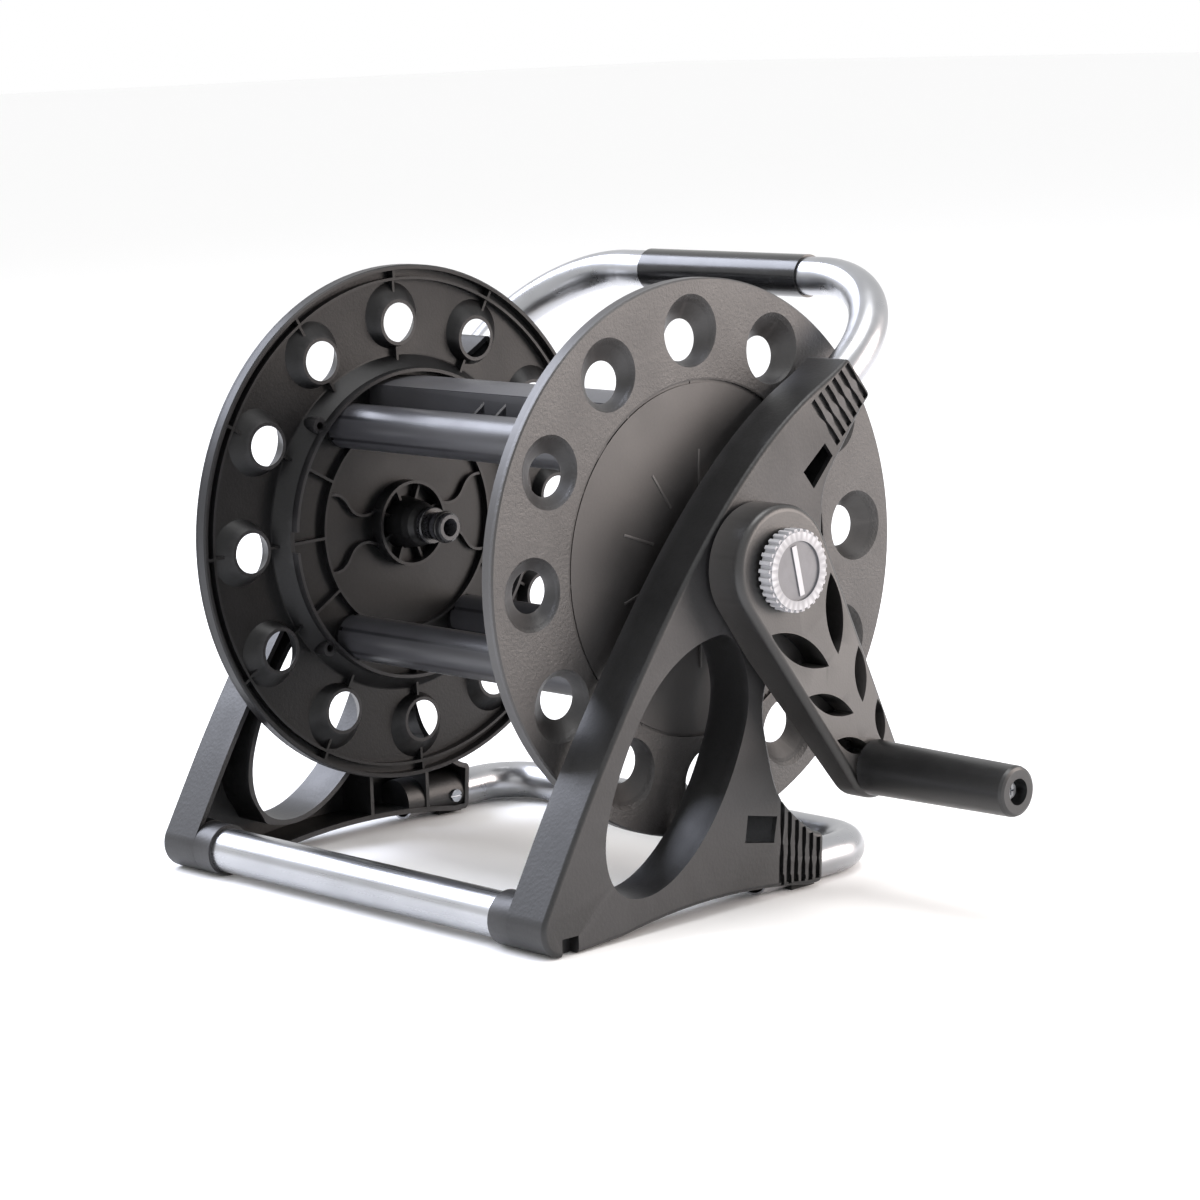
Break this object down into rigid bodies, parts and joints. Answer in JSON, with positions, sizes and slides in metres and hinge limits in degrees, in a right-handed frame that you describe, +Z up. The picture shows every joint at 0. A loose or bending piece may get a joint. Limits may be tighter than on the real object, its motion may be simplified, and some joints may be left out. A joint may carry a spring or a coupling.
{
  "type": "garden hose reel",
  "caption": "Free-standing garden hose reel: two flanged discs on a four-post core, leaf-cut side frames, bent tube handle, crank with turning grip.",
  "frame": {"origin": "middle of the bounding box, on the floor", "axes": "+X along the reel's axis towards the crank, +Y to the rear, where the handle leans, +Z up"},
  "size_m": [0.4902, 0.3166, 0.3345],
  "materials": {
    "frame_plastic": "satin, fine grain",
    "flange_plastic": "satin, grained outer ring",
    "core_plastic": "satin",
    "bridge_plastic": "satin",
    "crank_plastic": "satin, fine grain",
    "knob_plastic": "satin",
    "grip_plastic": "semi-gloss",
    "sleeve_plastic": "gloss",
    "tube_aluminium": "satin anodised",
    "bush_plastic": "satin, self-lubricating",
    "fitting_plastic": "satin",
    "screw_steel": "zinc plated",
    "pad_rubber": "matte",
    "seal_rubber": "matte"
  },
  "bodies": {
    "stand": {"right_frame": "frame_plastic", "left_frame": "frame_plastic", "handle_tube": "tube_aluminium", "handle_sleeve": "sleeve_plastic", "front_tube": "tube_aluminium", "rear_tube": "tube_aluminium", "lock_screws": "screw_steel", "foot_pads": "pad_rubber", "right_bush": "bush_plastic", "left_bush": "bush_plastic"},
    "drum": {"right_flange": "flange_plastic", "left_flange": "flange_plastic", "core_post_upper_rear": "core_plastic", "core_post_upper_front": "core_plastic", "core_post_lower_rear": "core_plastic", "core_post_lower_front": "core_plastic", "core_screws": "screw_steel", "core_bridge": "bridge_plastic", "outlet_nipple": "fitting_plastic", "outlet_seal": "seal_rubber", "crank_arm": "crank_plastic", "grip_spindle": "screw_steel", "grip_screw": "screw_steel", "grip_washer": "screw_steel", "union_nut": "fitting_plastic"},
    "clamp_knob": {"crank_knob": "knob_plastic", "knob_screw": "screw_steel"},
    "hand_grip": {"crank_grip": "grip_plastic"},
    "inlet": {"inlet_elbow": "fitting_plastic", "inlet_seals": "seal_rubber", "nipple_seal": "seal_rubber"}
  },
  "joints": [
    {"name": "drum_spin", "type": "hinge", "parent": "stand", "child": "drum", "pos_m": [-0.04749, -0.0018, 0.184], "axis": [1, 0, 0], "continuous": true},
    {"name": "hand_grip_spin", "type": "hinge", "parent": "drum", "child": "hand_grip", "pos_m": [0.18509, 0.0562, 0.0695], "axis": [1, 0, 0], "continuous": true},
    {"name": "clamp_knob_turn", "type": "hinge", "parent": "drum", "child": "clamp_knob", "pos_m": [0.13973, -0.0018, 0.184], "axis": [1, 0, 0], "range_deg": [0, 360]},
    {"name": "inlet_swivel", "type": "hinge", "parent": "stand", "child": "inlet", "pos_m": [-0.23259, -0.0018, 0.184], "axis": [1, 0, 0], "continuous": true}
  ]
}
